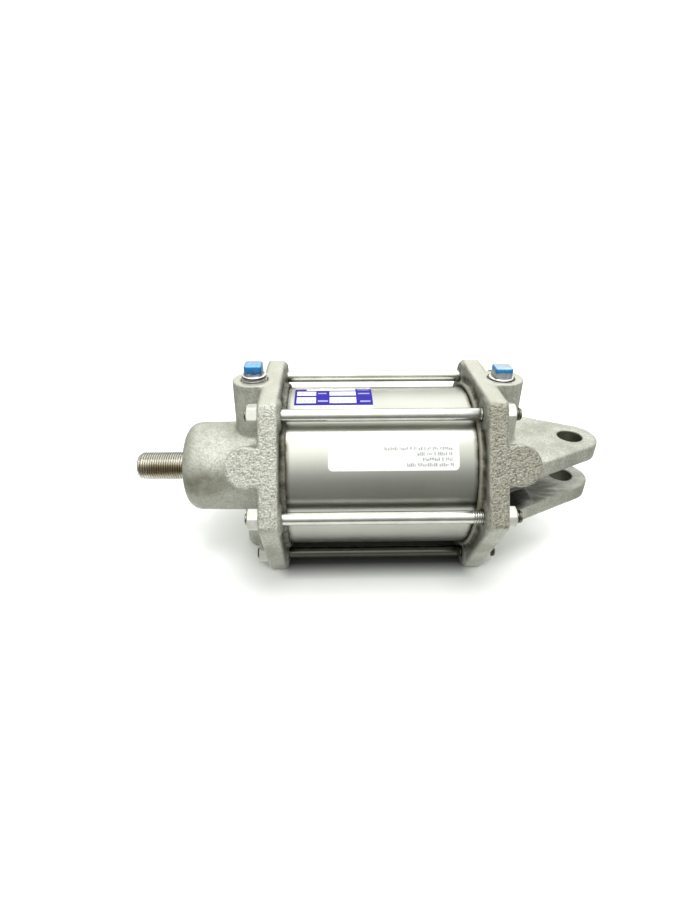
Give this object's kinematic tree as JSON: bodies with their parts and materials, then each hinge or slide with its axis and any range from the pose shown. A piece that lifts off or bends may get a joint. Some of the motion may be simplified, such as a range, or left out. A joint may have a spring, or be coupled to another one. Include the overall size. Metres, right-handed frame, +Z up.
{
  "type": "pneumatic cylinder",
  "caption": "Tie-rod pneumatic cylinder with hexagonal cast heads, a threaded rod end, a rear clevis and plugged top ports; air pressure drives the rod in and out.",
  "frame": {"origin": "the middle of the clevis pin bore, between the two ears, on the cylinder's axis", "axes": "X is the cylinder's axis, with the clevis towards +X and the piston rod leaving towards -X; +Z is up, along the clevis pin, on the side of the port plugs; -Y is the side with the paper label"},
  "size_m": [0.3156, 0.147, 0.1396],
  "materials": {
    "cast_head": "sand-cast, silver-grey coat",
    "barrel_steel": "satin drawn tube",
    "tie_rod_steel": "bright drawn bar",
    "plated_nut": "bright zinc plate",
    "port_plug_steel": "zinc plate with a blue painted head",
    "rod_steel": "turned and threaded steel",
    "bearing_bronze": "machined bronze",
    "seal_rubber": "nitrile rubber",
    "gasket_rubber": "gasket sheet",
    "wear_ring_plastic": "filled nylon",
    "piston_iron": "machined iron",
    "dark_steel": "black oxide",
    "name_plate_foil": "printed foil",
    "label_paper": "coated paper"
  },
  "bodies": {
    "cylinder": {"rod_end_head": "cast_head", "cap_end_head": "cast_head", "barrel_tube": "barrel_steel", "rod_end_barrel_gasket": "gasket_rubber", "cap_end_barrel_gasket": "gasket_rubber", "tie_rod_1": "tie_rod_steel", "tie_rod_2": "tie_rod_steel", "tie_rod_3": "tie_rod_steel", "tie_rod_4": "tie_rod_steel", "tie_rod_5": "tie_rod_steel", "tie_rod_6": "tie_rod_steel", "rod_end_tie_nuts": "plated_nut", "cap_end_tie_nuts": "plated_nut", "rod_end_port_plug": "port_plug_steel", "cap_end_port_plug": "port_plug_steel", "rod_wiper": "seal_rubber", "rod_bushing": "bearing_bronze", "rod_seal": "seal_rubber", "seal_retaining_ring": "dark_steel", "name_plate": "name_plate_foil", "paper_label": "label_paper"},
    "piston_seals": {"piston_seal_front": "seal_rubber", "piston_seal_rear": "seal_rubber", "piston_wear_ring": "wear_ring_plastic"},
    "rod_and_piston": {"piston_rod": "rod_steel", "piston": "piston_iron", "piston_nut": "dark_steel", "piston_o_ring": "seal_rubber"}
  },
  "joints": [
    {"name": "rod_extend", "type": "slide", "parent": "cylinder", "child": "piston_seals", "axis": [-1, 0, 0], "range_m": [0, 0.0762]},
    {"name": "rod_turn", "type": "hinge", "parent": "piston_seals", "child": "rod_and_piston", "pos_m": [-0.1, 0, 0], "axis": [-1, 0, 0], "continuous": true}
  ]
}
